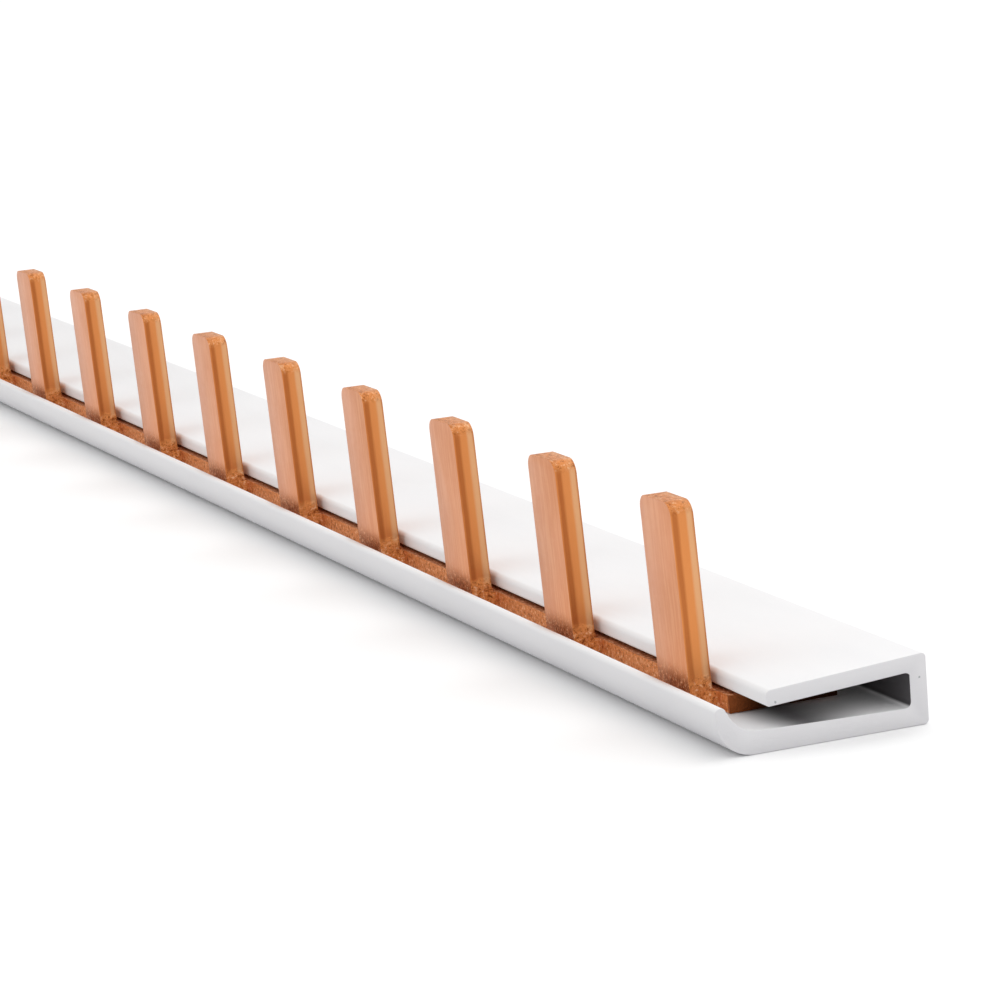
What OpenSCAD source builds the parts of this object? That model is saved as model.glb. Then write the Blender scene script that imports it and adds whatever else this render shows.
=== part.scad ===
// Single-pole pin comb busbar: a bent copper comb in an extruded insulating profile.
// X runs along the bar, the lip side is -Y and the teeth point up, +Z.
// The bar stands on its web, with the middle of its footprint at the origin.

/* [Bar] */
// Number of one-module teeth
module_count = 12; // [2:1:57]
// Distance from one tooth to the next, one rail module
pitch = 17.8; // [17.5:0.1:18]
// How far the copper stops short of each end of the profile
copper_recess = 4.6; // [0:0.1:6]

/* [Insulating profile] */
// Width from the lip's outer face to the back wall's outer face
profile_w = 14; // [12:0.1:20]
// Height at the back wall
profile_h = 4.4; // [4:0.1:8]
// Thickness of the web at the front, where the copper lies on it
web_t = 1.4; // [0.8:0.05:2]
// How much thinner the web is at the back wall
web_taper = 0.25; // [0:0.05:0.4]
// Thickness of the back wall
back_t = 1.15; // [0.8:0.05:2]
// Thickness of the top flange
flange_t = 1; // [0.8:0.05:2]
// How much lower the flange's free edge is than its root
flange_drop = 0.7; // [0:0.02:1.2]
// Gap between the backs of the teeth and the flange's free edge
flange_gap = 0.4; // [0.1:0.05:2]
// Height of the front lip
lip_h = 3.1; // [2:0.05:4]
// Radius of the curve from the web up into the lip
lip_r = 2.4; // [1:0.1:3]
// Thickness of the lip's tip
lip_tip_t = 0.7; // [0.4:0.05:1.2]
// Radius of the outer back corners
back_r = 0.3; // [0.1:0.05:1]
// Radius of the cavity's inner corners
cavity_r = 0.4; // [0.1:0.05:1]

/* [Copper comb] */
// Thickness of the flat strip
strip_t = 1.1; // [0.8:0.05:2.5]
// Thickness of a tooth
tooth_t = 1.5; // [0.8:0.05:2.5]
// Width of a tooth along the bar
tooth_w = 4.5; // [3:0.1:7]
// Height of the tooth tips above the bar's underside
tooth_top = 14.3; // [10:0.1:20]
// How far the teeth spring back past upright, towards the lip
tooth_lean = 2.5; // [0:0.5:4]
// Distance from the lip's outer face to the front of the teeth
tooth_inset = 1.4; // [1:0.05:3]
// Radius of the rounded corners at a tooth's tip
tip_r = 0.9; // [0.2:0.1:2]
// Radius inside the corner between a tooth and the strip
bend_r = 0.3; // [0.2:0.05:1.5]
// Radius round the outside of a tooth's foot
foot_r = 1.4; // [0.5:0.05:2]
// Height of the strip's underside above the web
strip_gap = 0.05; // [0:0.05:0.4]
// How far the strip's sheared edge stands behind the front of the teeth
shear_setback = 1.65; // [1.4:0.05:3]
// Radius of the root where a tooth leaves the strip
root_r = 0.7; // [0.2:0.1:1.5]
// Width of the flat strip under the flange
strip_w = 7.2; // [4:0.1:10]

/* [Output] */
// Which piece to show

/* [Hidden] */
$fn = 96;
profile_l = module_count * pitch;
comb_l = profile_l - 2 * copper_recess;
front_y = -profile_w / 2;
back_y = profile_w / 2;
tooth_y = front_y + tooth_inset;
strip_z = web_t + strip_gap;
strip_top = strip_z + strip_t;
foot_y = tooth_y + foot_r;
foot_z = strip_z + foot_r;
tooth_back = tooth_y + tooth_t;
strip_y = tooth_y + shear_setback;
flange_y = tooth_back + flange_gap;
flange_run = back_y - back_r - flange_y;
flange_angle = asin(flange_drop / flange_run);
// The hollow of the lip runs out under the foot of the teeth, so the strip lies flat.
hollow_y = foot_y;
hollow_r = hollow_y - front_y - lip_tip_t + 0.1;
tip_round = 0.3;
skin = 0.1;

// A slab along the bar, drawn as a section with Y to the right and Z up.
module along_bar(length) {
  rotate([90, 0, 90])
    linear_extrude(height = length, center = true)
      children();
}

// The curved front: a quarter round outside, a wider hollow inside and a rounded tip.
module lip_section() {
  difference() {
    union() {
      intersection() {
        translate([front_y + lip_r, lip_r]) circle(r = lip_r);
        translate([front_y, 0]) square([lip_r, lip_r]);
      }
      translate([front_y + lip_r, 0])
        square([hollow_y - front_y - lip_r, lip_r]);
      translate([front_y, lip_r])
        square([lip_r, lip_h - tip_round - lip_r]);
    }
    translate([hollow_y, web_t + hollow_r]) circle(r = hollow_r);
  }
  translate([front_y, lip_h - tip_round - skin])
    square([lip_tip_t - skin / 2, skin]);
  translate([front_y + tip_round, lip_h - tip_round])
    circle(r = tip_round);
  translate([front_y + lip_tip_t - tip_round, lip_h - tip_round])
    circle(r = tip_round);
  translate([front_y + tip_round, lip_h - 2 * tip_round])
    square([lip_tip_t - 2 * tip_round, 2 * tip_round]);
}

// The web, level where the copper lies and thinner behind it, and the back wall.
module web_section() {
  back_web = web_t - web_taper;
  polygon([[hollow_y - skin, 0], [back_y - back_r, 0], [back_y - back_r, back_web],
           [back_y - back_t - cavity_r, back_web], [strip_y + skin, web_t],
           [hollow_y - skin, web_t]]);
  translate([back_y - back_r, back_r]) circle(r = back_r);
  translate([back_y - back_t, back_r])
    square([back_t, profile_h - 2 * back_r]);
  translate([back_y - back_r, profile_h - back_r]) circle(r = back_r);
  difference() {
    translate([back_y - back_t - cavity_r, back_web - skin])
      square([cavity_r + skin, cavity_r + skin]);
    translate([back_y - back_t - cavity_r, back_web + cavity_r])
      circle(r = cavity_r);
  }
}

// The flange, leaning down towards its rounded free edge just behind the teeth.
module flange_section() {
  nose_r = 0.35;
  under_r = 0.15;
  translate([back_y - back_r, profile_h]) rotate(flange_angle) {
    translate([nose_r - flange_run, -flange_t])
      square([flange_run - nose_r, flange_t]);
    translate([-flange_run, under_r - flange_t])
      square([flange_run, flange_t - nose_r - under_r]);
    translate([nose_r - flange_run, -nose_r]) circle(r = nose_r);
    translate([under_r - flange_run, under_r - flange_t]) circle(r = under_r);
    translate([under_r - flange_run, -flange_t])
      square([nose_r, 2 * under_r]);
    difference() {
      translate([back_r - back_t - cavity_r, -flange_t - cavity_r])
        square([cavity_r + skin, cavity_r + skin]);
      translate([back_r - back_t - cavity_r, -flange_t - cavity_r])
        circle(r = cavity_r);
    }
  }
}

module insulating_profile() {
  color("WhiteSmoke")
    along_bar(profile_l) {
      lip_section();
      web_section();
      flange_section();
    }
}

// The section through a tooth: a rounded foot, a leg that leans a little to the front,
// a fillet behind it and a stub of the flat strip.
module bent_section() {
  translate([foot_y, foot_z]) rotate(tooth_lean)
    translate([-foot_r, 0]) square([tooth_t, tooth_top]);
  intersection() {
    translate([foot_y, foot_z]) circle(r = foot_r);
    translate([tooth_y, strip_z]) square([foot_r, foot_r]);
  }
  translate([foot_y, strip_z])
    square([tooth_back + bend_r - foot_y, strip_t]);
  translate([foot_y, strip_z])
    square([tooth_back - foot_y, foot_r]);
  difference() {
    translate([tooth_back - skin, strip_top - skin])
      square([bend_r + skin, bend_r + skin]);
    translate([tooth_back + bend_r, strip_top + bend_r]) circle(r = bend_r);
  }
}

// The outline of a tooth seen from the front, with rounded corners at the tip.
module tooth_outline() {
  translate([-tooth_w / 2, 0]) square([tooth_w, tooth_top - tip_r]);
  translate([tip_r - tooth_w / 2, 0])
    square([tooth_w - 2 * tip_r, tooth_top]);
  for (side = [-1, 1])
    translate([side * (tooth_w / 2 - tip_r), tooth_top - tip_r])
      circle(r = tip_r);
}

// The metal that widens the foot of a tooth into the strip's sheared edge.
module root_fillets() {
  intersection() {
    along_bar(tooth_w + 2 * root_r) intersection() {
      union() {
        translate([foot_y, foot_z]) circle(r = foot_r);
        translate([foot_y, strip_z]) square([strip_y - foot_y, strip_t]);
      }
      translate([tooth_y, strip_z]) square([strip_y - tooth_y + skin, strip_t]);
    }
    for (side = [-1, 1])
      translate([0, 0, strip_z - skin])
        linear_extrude(height = strip_t + 2 * skin)
          difference() {
            translate([side * (tooth_w + root_r) / 2, strip_y - (root_r - skin) / 2])
              square([root_r, root_r + skin], center = true);
            translate([side * (tooth_w / 2 + root_r), strip_y - root_r])
              circle(r = root_r);
          }
  }
}

module tooth() {
  intersection() {
    along_bar(tooth_w + 1) bent_section();
    translate([0, back_y, 0]) rotate([90, 0, 0])
      linear_extrude(height = profile_w) tooth_outline();
  }
  root_fillets();
}

module copper_comb() {
  color("Peru") {
    along_bar(comb_l)
      translate([strip_y, strip_z]) square([strip_w, strip_t]);
    for (i = [0 : module_count - 1])
      translate([(i + 0.5) * pitch - profile_l / 2, 0, 0]) tooth();
  }
}

copper_comb();
insulating_profile();
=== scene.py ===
import math
import bpy
from mathutils import Matrix, Vector


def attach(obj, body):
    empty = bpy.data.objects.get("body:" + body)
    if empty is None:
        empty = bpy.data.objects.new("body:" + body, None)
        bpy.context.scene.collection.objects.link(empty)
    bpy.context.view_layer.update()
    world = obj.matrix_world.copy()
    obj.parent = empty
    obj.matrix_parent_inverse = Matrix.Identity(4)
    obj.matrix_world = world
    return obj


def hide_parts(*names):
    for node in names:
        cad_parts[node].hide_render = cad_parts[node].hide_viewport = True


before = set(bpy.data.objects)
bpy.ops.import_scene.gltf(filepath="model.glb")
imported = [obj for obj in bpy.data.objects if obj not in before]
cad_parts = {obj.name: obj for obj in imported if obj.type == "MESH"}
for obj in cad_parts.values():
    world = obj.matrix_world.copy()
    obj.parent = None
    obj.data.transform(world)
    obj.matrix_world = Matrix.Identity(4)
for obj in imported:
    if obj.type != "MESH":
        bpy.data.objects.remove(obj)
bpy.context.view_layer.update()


# ---------------------------------------------------------------- copper comb
# One punched copper sheet: a flat strip with twelve teeth bent up from its edge.
# The faces are rolled and drawn smooth, and every cut edge is sheared and coarser.
# The burrs are tumbled off, so all its corners are slightly round. The strip's ends
# lie back under the flange and are toned down there, where little light comes in.

MM = 0.001
TOOTH_FRONT_Y = -5.6 * MM
TOOTH_THICK = 1.5 * MM
TOOTH_LEAN = math.tan(math.radians(2.5))
FOOT_Z = 2.85 * MM
COMB_END_X = 102.2 * MM
STRIP_TOP_Z = 2.55 * MM
TIP_Z = 13 * MM
TIP_ROUGH_Z = (13.4 * MM, 14 * MM)
FOOT_FADE_Z = (2.9 * MM, 4.3 * MM)
FOOT_WARM_Z = (3.5 * MM, 8 * MM)
TORN_FADE_Z = (2.9 * MM, 3.6 * MM)
UNDER_FLANGE_Y = (-3.8 * MM, -1.5 * MM)
COMB_EDGE = 0.26 * MM

ROLLED_COPPER = (0.61, 0.25, 0.115, 1)
ROLLED_LIGHT = (0.67, 0.295, 0.155, 1)
ROLLED_WARM = (0.69, 0.265, 0.11, 1)
BROWN_AND_SHADE = (0.3, 0.085, 0.02, 1)
SHEAR_DARK = (0.5, 0.16, 0.045, 1)
SHEAR_MID = (0.72, 0.27, 0.085, 1)
SHEAR_BRIGHT = (0.74, 0.39, 0.19, 1)
SHADED_CUT_END = (0.3, 0.085, 0.025, 1)
PAINTED_FLANGE_SHADOW = (0.05, 0.015, 0.006, 1)
PAINTED_GLINT = (0.95, 0.6, 0.36, 1)


class Field:
    """A shader socket that can be used as a number in an expression."""

    def __init__(self, tree, socket=None):
        self.tree = tree
        self.socket = socket

    def node(self, kind, settings, sockets, output=0):
        made = self.tree.nodes.new(kind)
        for name, value in settings.items():
            if name == "stops":
                ramp = made.color_ramp
                while len(ramp.elements) < len(value):
                    ramp.elements.new(0.5)
                for element, (place, colour) in zip(ramp.elements, value):
                    element.position = place
                    element.color = colour
            else:
                setattr(made, name, value)
        for name, value in sockets.items():
            if isinstance(value, Field):
                self.tree.links.new(value.socket, made.inputs[name])
            else:
                made.inputs[name].default_value = value
        return Field(self.tree, made.outputs[output])

    def math(self, operation, first, second):
        return self.node("ShaderNodeMath", {"operation": operation}, {0: first, 1: second})

    def __add__(self, other):
        return self.math("ADD", self, other)

    def __radd__(self, other):
        return self.math("ADD", other, self)

    def __sub__(self, other):
        return self.math("SUBTRACT", self, other)

    def __rsub__(self, other):
        return self.math("SUBTRACT", other, self)

    def __mul__(self, other):
        return self.math("MULTIPLY", self, other)

    def __rmul__(self, other):
        return self.math("MULTIPLY", other, self)

    def __truediv__(self, other):
        return self.math("DIVIDE", self, other)

    def __rtruediv__(self, other):
        return self.math("DIVIDE", other, self)

    def between(self, low, high):
        """0 below low, 1 above high, and a smooth step from one to the other."""
        sockets = {"Value": self, "From Min": low, "From Max": high}
        return self.node("ShaderNodeMapRange", {"interpolation_type": "SMOOTHSTEP"}, sockets)

    def blend(self, first, second, how="MIX"):
        """Two colours, the second laid over the first by this amount."""
        settings = {"data_type": "RGBA", "blend_type": how}
        return self.node("ShaderNodeMix", settings, {0: self, 6: first, 7: second}, 2)

    def ramp(self, stops):
        return self.node("ShaderNodeValToRGB", {"stops": stops}, {0: self})

    def noise(self, stretch, scale, detail=2, roughness=0.5):
        """Noise of this point, with the pattern stretched along each axis."""
        sockets = {0: self, 1: stretch}
        place = self.node("ShaderNodeVectorMath", {"operation": "MULTIPLY"}, sockets)
        sockets = {"Vector": place, "Scale": scale, "Detail": detail, "Roughness": roughness}
        return self.node("ShaderNodeTexNoise", {}, sockets)

    def bump(self, height, strength, distance):
        sockets = {"Height": height, "Strength": strength, "Distance": distance}
        return self.node("ShaderNodeBump", {}, sockets)


def new_material(name, metallic):
    """A material with its shader, and the point being shaded."""
    material = bpy.data.materials.new(name)
    material.use_nodes = True
    tree = material.node_tree
    shader = tree.nodes["Principled BSDF"]
    shader.inputs["Metallic"].default_value = metallic
    point = Field(tree).node("ShaderNodeTexCoord", {}, {}, "Object")
    axes = [point.node("ShaderNodeSeparateXYZ", {}, {0: point}, axis) for axis in range(3)]
    return material, shader, point, axes


def plug(shader, name, field):
    field.tree.links.new(field.socket, shader.inputs[name])


def only(piece):
    """Makes one object the selected and active one."""
    bpy.ops.object.select_all(action="DESELECT")
    piece.select_set(True)
    bpy.context.view_layer.objects.active = piece


def merged_copy(node, name):
    """A CAD node's own shape as one clean mesh, ready for finer edges."""
    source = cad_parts[node]
    mesh = source.data.copy()
    piece = bpy.data.objects.new(name, mesh)
    bpy.context.scene.collection.objects.link(piece)
    mesh.materials.clear()
    only(piece)
    bpy.ops.object.mode_set(mode="EDIT")
    bpy.ops.mesh.select_all(action="SELECT")
    bpy.ops.mesh.remove_doubles(threshold=1e-6)
    bpy.ops.mesh.dissolve_limited(angle_limit=math.radians(0.4))
    bpy.ops.object.mode_set(mode="OBJECT")
    return piece


def round_edges(piece, width, segments, angle):
    only(piece)
    bevel = piece.modifiers.new("Bevel", "BEVEL")
    bevel.width = width
    bevel.segments = segments
    bevel.limit_method = "ANGLE"
    bevel.angle_limit = math.radians(angle)
    bpy.ops.object.modifier_apply(modifier=bevel.name)
    bpy.ops.object.shade_smooth_by_angle(angle=math.radians(35))


comb = merged_copy("copper_comb", "comb")
round_edges(comb, COMB_EDGE, 3, 50)

rolled, shader, point, (x, y, z) = new_material("Rolled copper", 1)
clouds = point.noise((1, 1, 0.6), 260, 3).between(0.35, 0.68)
drawn = point.noise((1, 1, 0.04), 5200, 2)
grain = point.noise((1, 1, 1), 2600, 3, 0.7)
tone = clouds.blend(ROLLED_COPPER, ROLLED_LIGHT)
warm = 1 - z.between(*FOOT_WARM_Z)
tone = (warm * 0.65).blend(tone, ROLLED_WARM)
# Painted sheen along the drawing lines, in the glint colour.
tone = (drawn.between(0.4, 0.7) * 0.16).blend(tone, PAINTED_GLINT)
# Stretch marks, like orange peel, where the outside of the bend leaves the strip. Their
# relief is real; their brown blotches are painted shade, their bright specks painted glints.
peel = point.noise((1, 1, 0.8), 3400, 3, 0.75)
foot = 1 - (z + (peel - 0.5) * 1.6 * MM).between(*FOOT_FADE_Z)
peel_shade = (foot * peel.between(0.3, 0.62)) * 0.85
tone = peel_shade.blend(tone, BROWN_AND_SHADE)
glint = foot * point.noise((1, 1, 1), 4400, 3, 0.8).between(0.55, 0.63)
tone = (glint * 0.8).blend(tone, PAINTED_GLINT)
plug(shader, "Base Color", tone)
plug(shader, "Roughness", 0.3 + grain * 0.14 + foot * 0.22)
relief = drawn * 0.25 + grain * 0.2 + foot * peel * 5
plug(shader, "Normal", relief.bump(relief, 0.35, 0.06 * MM))

sheared, shader, point, (x, y, z) = new_material("Sheared copper", 1)
across = (y - TOOTH_FRONT_Y + (z - FOOT_Z) * TOOTH_LEAN) / TOOTH_THICK
streak = point.noise((1, 1, 0.05), 4200, 2)
across = across + (streak - 0.5) * 0.1
stops = [(0.0, SHEAR_MID), (0.1, SHEAR_DARK), (0.24, SHEAR_DARK), (0.36, SHEAR_MID),
         (0.62, SHEAR_MID), (0.74, SHEAR_BRIGHT), (0.9, SHEAR_BRIGHT), (1.0, SHEAR_DARK)]
band = across.ramp(stops)
grit = point.noise((1, 1, 1), 3300, 4, 0.8)
speck = point.noise((1, 1, 1), 5200, 2, 0.6)
# Torn foot and hammered tip: rough brown copper, with painted shade and glints on its grit.
stops = [(0.38, BROWN_AND_SHADE), (0.47, SHEAR_MID), (0.55, SHEAR_MID), (0.63, PAINTED_GLINT)]
torn_tone = grit.ramp(stops)
torn = 1 - (z + (grit - 0.5) * 1.2 * MM).between(*TORN_FADE_Z)
tip = z.between(*TIP_ROUGH_Z)
tone = (torn + tip * 0.7).blend(band, torn_tone)
along = x.node("ShaderNodeMath", {"operation": "ABSOLUTE"}, {0: x})
strip_end = along.between(COMB_END_X - 0.3 * MM, COMB_END_X - 0.1 * MM)
# Painted shade on the strip's end, with a deeper painted shadow where it lies under the
# flange.
tone = strip_end.blend(tone, SHADED_CUT_END)
tone = (strip_end * y.between(*UNDER_FLANGE_Y)).blend(tone, PAINTED_FLANGE_SHADOW)
plug(shader, "Base Color", tone)
plug(shader, "Roughness", 0.34 + torn * 0.12 + speck * 0.1)
relief = streak * 0.3 + (torn + tip) * grit * 3 + torn * speck
plug(shader, "Normal", relief.bump(relief, 0.5, 0.12 * MM))

comb.data.materials.append(rolled)
comb.data.materials.append(sheared)
for face in comb.data.polygons:
    low_front = face.center.z < STRIP_TOP_Z + 0.05 * MM and face.normal.y < -0.5
    tip = face.center.z > TIP_Z and face.normal.z > 0.6
    face.material_index = 1 if abs(face.normal.x) > 0.5 or low_front or tip else 0
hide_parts("copper_comb")
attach(comb, "root")


# --------------------------------------------------------- insulating profile
# One length of white PVC, extruded with a curved front lip, a closed back and a
# flange that leans down to just behind the teeth. It is sawn to length and left
# plain, so its ends show the wall's section. The channel's walls are toned down
# towards the back, where little light comes in.

PROFILE_EDGE = 0.09 * MM
CHANNEL_FLOOR_Z = (1.2 * MM, 1.35 * MM)
CHANNEL_ROOF_Z = (3.45 * MM, 3.6 * MM)
CHANNEL_MOUTH_Y = (-4 * MM, -0.5 * MM)
CHANNEL_BACK_Y = (5.9 * MM, 6.1 * MM)

PVC_WHITE = (0.885, 0.88, 0.885, 1)
PVC_CLOUD = (0.85, 0.85, 0.86, 1)
PVC_SAWN = (0.86, 0.85, 0.86, 1)
PVC_SHADE = (0.09, 0.085, 0.09, 1)
PVC_SPECK = (0.3, 0.33, 0.33, 1)

profile = merged_copy("insulating_profile", "profile")
round_edges(profile, PROFILE_EDGE, 2, 50)

pvc, shader, point, (x, y, z) = new_material("White PVC", 0)
clouds = point.noise((0.3, 1, 1), 320, 3).between(0.35, 0.7)
drawn = point.noise((0.02, 1, 1), 2400, 3)
grain = point.noise((1, 1, 1), 3600, 3, 0.7)
tone = (clouds * 0.5).blend(PVC_WHITE, PVC_CLOUD)
inside = z.between(*CHANNEL_FLOOR_Z) * (1 - z.between(*CHANNEL_ROOF_Z))
inside = inside * y.between(*CHANNEL_MOUTH_Y) * (1 - y.between(*CHANNEL_BACK_Y))
tone = inside.blend(tone, PVC_SHADE)
plug(shader, "Base Color", tone)
plug(shader, "Roughness", 0.3 + drawn * 0.08 + grain * 0.06)
relief = drawn * 0.6 + grain * 0.4 + clouds * 2
plug(shader, "Normal", relief.bump(relief, 0.12, 0.1 * MM))
shader.inputs["Specular IOR Level"].default_value = 0.45

sawn, shader, point, (x, y, z) = new_material("Sawn PVC", 0)
marks = point.noise((1, 0.25, 1), 3000, 3, 0.7)
clouds = point.noise((1, 1, 1), 500, 3)
specks = point.noise((1, 1, 1), 1500, 1).between(0.76, 0.8)
tone = (clouds.between(0.35, 0.7) * 0.4).blend(PVC_SAWN, PVC_WHITE)
tone = (specks * 0.7).blend(tone, PVC_SPECK)
plug(shader, "Base Color", tone)
plug(shader, "Roughness", 0.5 + marks * 0.15)
plug(shader, "Normal", marks.bump(marks, 0.25, 0.08 * MM))

profile.data.materials.append(pvc)
profile.data.materials.append(sawn)
for face in profile.data.polygons:
    face.material_index = 1 if abs(face.normal.x) > 0.9 else 0
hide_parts("insulating_profile")
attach(profile, "root")


# ---------------------------------------------------------------------- stage
# A seamless white sheet of card under the bar, lit by a soft dome of light, a
# large soft lamp above and behind, and weaker ones at the lip's side and the end.

CARD_SIZE = 8
CARD_GAP = 0.02 * MM
CARD_BOUNCE = (0.55, 0.55, 0.57, 1)
CARD_SHOWN = (1, 1, 1, 1)
CAMERA_PLACE = (0.31671, -0.10123, 0.0605)
CAMERA_AHEAD = (-0.91522, 0.35649, -0.18784)
CAMERA_TILT = math.radians(4.33)
CAMERA_LENS = 145.3

bpy.ops.object.select_all(action="DESELECT")
bpy.ops.mesh.primitive_plane_add(size=CARD_SIZE, location=(0, 0, -CARD_GAP))
floor = bpy.context.object
floor.name = "card"
card, shader, point, (x, y, z) = new_material("White card", 0)
shader.inputs["Roughness"].default_value = 0.9
shader.inputs["Specular IOR Level"].default_value = 0.1
camera_ray = point.node("ShaderNodeLightPath", {}, {}, "Is Camera Ray")
glossy_ray = point.node("ShaderNodeLightPath", {}, {}, "Is Glossy Ray")
clear_ray = point.node("ShaderNodeLightPath", {}, {}, "Is Transmission Ray")
shown = camera_ray + glossy_ray + clear_ray
plug(shader, "Base Color", shown.blend(CARD_BOUNCE, CARD_SHOWN))
floor.data.materials.append(card)

world = bpy.data.worlds.new("Studio")
bpy.context.scene.world = world
world.use_nodes = True
sky = world.node_tree.nodes["Background"]
sky.inputs["Color"].default_value = (1, 1, 1, 1)
light = Field(world.node_tree)
toward = light.node("ShaderNodeTexCoord", {}, {}, "Generated")
height = light.node("ShaderNodeSeparateXYZ", {}, {0: toward}, 2)
dome = 0.74 + height.between(-0.1, 0.9) * 0.1
camera_ray = light.node("ShaderNodeLightPath", {}, {}, "Is Camera Ray")
strength = camera_ray + (1 - camera_ray) * dome
world.node_tree.links.new(strength.socket, sky.inputs["Strength"])


def lamp(name, place, size, power):
    bpy.ops.object.light_add(type="AREA", location=place)
    made = bpy.context.object
    made.name = name
    made.data.size = size
    made.data.energy = power
    aim = -Vector(place)
    made.rotation_euler = aim.to_track_quat("-Z", "Y").to_euler()


lamp("key", (-0.25, 0.8, 1.15), 1.6, 7)
lamp("fill", (-0.4, -1.2, 0.6), 0.9, 2)
lamp("end fill", (1.2, 0.1, 0.9), 0.9, 1.9)

# The camera looks along the bar from its near end, a little above the tips.
bpy.ops.object.camera_add(location=CAMERA_PLACE)
camera = bpy.context.object
camera.name = "camera"
camera.data.sensor_width = 36
camera.data.lens = CAMERA_LENS
ahead = Vector(CAMERA_AHEAD).normalized()
level = ahead.to_track_quat("-Z", "Y").to_matrix()
tilt = Matrix.Rotation(CAMERA_TILT, 3, ahead)
camera.rotation_euler = (tilt @ level).to_euler()
camera.data.clip_start = 0.01
bpy.context.scene.camera = camera
bpy.context.scene.view_settings.view_transform = "Standard"
